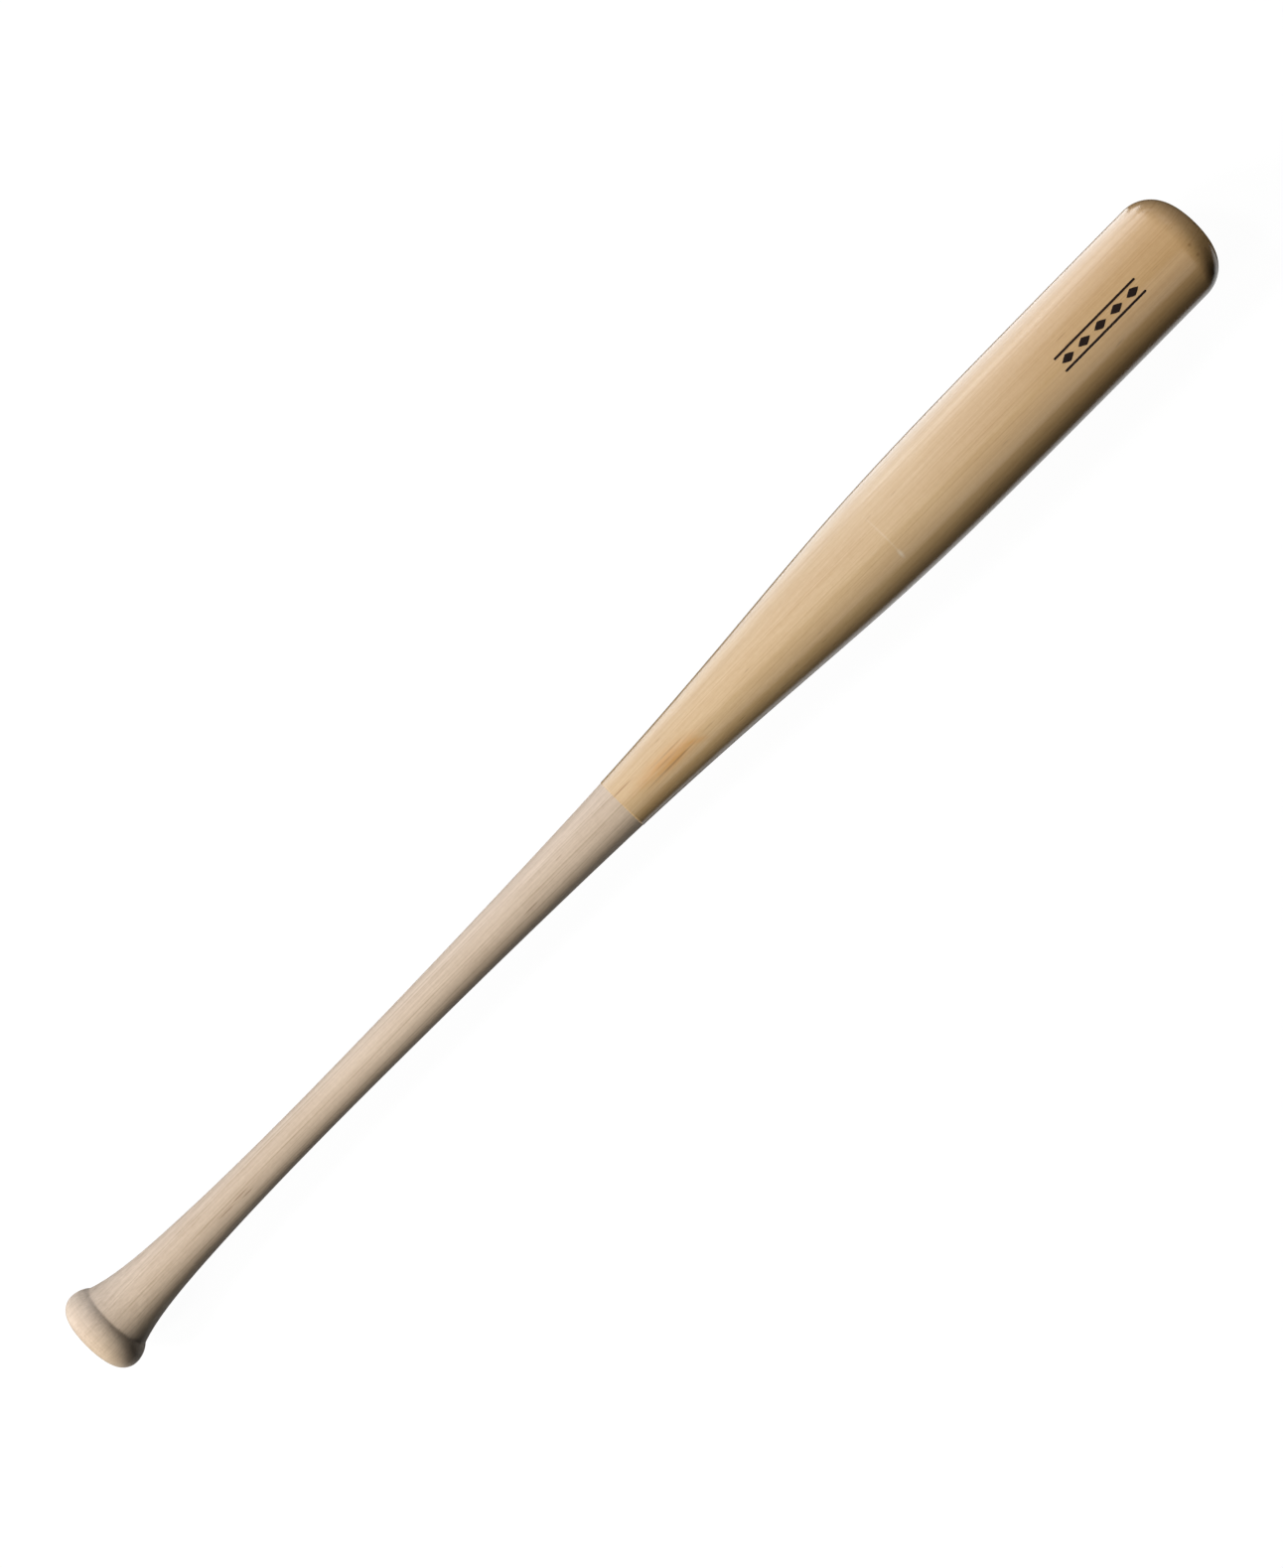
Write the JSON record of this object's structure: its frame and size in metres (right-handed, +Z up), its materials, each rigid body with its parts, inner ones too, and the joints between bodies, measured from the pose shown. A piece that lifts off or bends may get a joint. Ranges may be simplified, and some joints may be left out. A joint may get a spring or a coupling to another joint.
{
  "type": "baseball bat",
  "caption": "Turned wooden baseball bat with a bare flared-knob handle, a clear-lacquered round-ended barrel and a plain black foil motif.",
  "frame": {"origin": "centre of the flat on the knob's end face", "axes": "+X along the bat's axis from knob to barrel end; +Z up through the stamped side; +Y completes the right-handed frame"},
  "size_m": [0.8382, 0.0636, 0.0636],
  "materials": {
    "bare_wood": "sanded, unfinished, matte",
    "clear_lacquer": "wood under a clear gloss lacquer",
    "black_foil": "hot-stamped black foil, satin"
  },
  "bodies": {
    "root": {"turned_body": "bare_wood", "barrel_lacquer": "clear_lacquer", "barrel_mark": "black_foil"}
  },
  "joints": []
}
